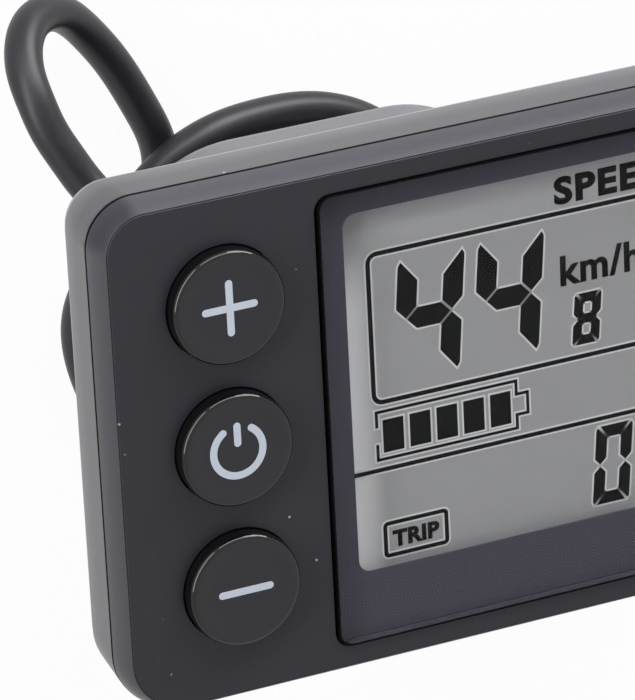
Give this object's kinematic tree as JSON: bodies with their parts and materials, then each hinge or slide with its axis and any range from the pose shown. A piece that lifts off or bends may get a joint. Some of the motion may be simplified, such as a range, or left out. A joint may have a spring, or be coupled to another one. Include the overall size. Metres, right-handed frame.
{
  "type": "e-bike display",
  "caption": "Handlebar display with a grey liquid crystal window, three round keys, a two-part bar clamp and a short lead that loops to a screw-ring plug",
  "frame": {"origin": "under the middle of the case, on the surface that the display lies on, face up; the lead and its plug are left out of the box that is centred", "axes": "+X along the handlebar, from the keys towards the window; +Y up the face; +Z out of the face"},
  "size_m": [0.082, 0.0565, 0.0426],
  "materials": {
    "front_case": "fine matte mould texture",
    "rear_case": "fine matte mould texture",
    "key_gloss": "smooth semi-gloss",
    "lens": "clear gloss",
    "dark_print": "smooth printed ink",
    "tape": "thin adhesive film",
    "black_rubber": "matte",
    "grey_silicone": "matte",
    "switch_metal": "satin",
    "display_glass": "grey liquid crystal glass",
    "white_plastic": "smooth",
    "gold_pins": "bright",
    "green_board": "solder-masked laminate",
    "chip_black": "matte",
    "capacitor_tan": "ceramic",
    "cream_plastic": "smooth",
    "wire_red": "insulation",
    "lead_jacket": "matte jacket",
    "steel": "plated"
  },
  "bodies": {
    "display": {"front_shell": "front_case", "rear_shell": "rear_case", "case_seal": "black_rubber", "case_screws": "steel", "lens": "lens", "lens_mask": "dark_print", "lens_adhesive": "tape", "key_mat": "grey_silicone", "key_switches": "switch_metal", "display_glass": "display_glass", "backlight_panel": "white_plastic", "display_holder": "white_plastic", "display_pins": "gold_pins", "circuit_board": "green_board", "processor_chip": "chip_black", "driver_chip": "chip_black", "capacitors": "capacitor_tan", "power_coil": "chip_black", "lead_socket": "cream_plastic", "lead_housing": "cream_plastic", "lead_wires": "wire_red", "inner_lead": "lead_jacket", "lead_gland": "black_rubber", "display_lead": "lead_jacket", "plug_body": "black_rubber", "plug_ring": "key_gloss", "plug_pins": "gold_pins", "clamp_strap": "rear_case", "clamp_screws": "steel", "clamp_nuts": "steel", "upper_sleeve": "black_rubber", "lower_sleeve": "black_rubber"},
    "plus_key": {"plus_button": "key_gloss", "plus_pad": "grey_silicone"},
    "power_key": {"power_button": "key_gloss", "power_pad": "grey_silicone"},
    "minus_key": {"minus_button": "key_gloss", "minus_pad": "grey_silicone"}
  },
  "joints": [
    {"name": "plus_key_press", "type": "slide", "parent": "display", "child": "plus_key", "axis": [0, 0, -1], "range_m": [0, 0.0006], "stiffness_N_per_m": 1500},
    {"name": "power_key_press", "type": "slide", "parent": "display", "child": "power_key", "axis": [0, 0, -1], "range_m": [0, 0.0006], "stiffness_N_per_m": 1500},
    {"name": "minus_key_press", "type": "slide", "parent": "display", "child": "minus_key", "axis": [0, 0, -1], "range_m": [0, 0.0006], "stiffness_N_per_m": 1500}
  ]
}
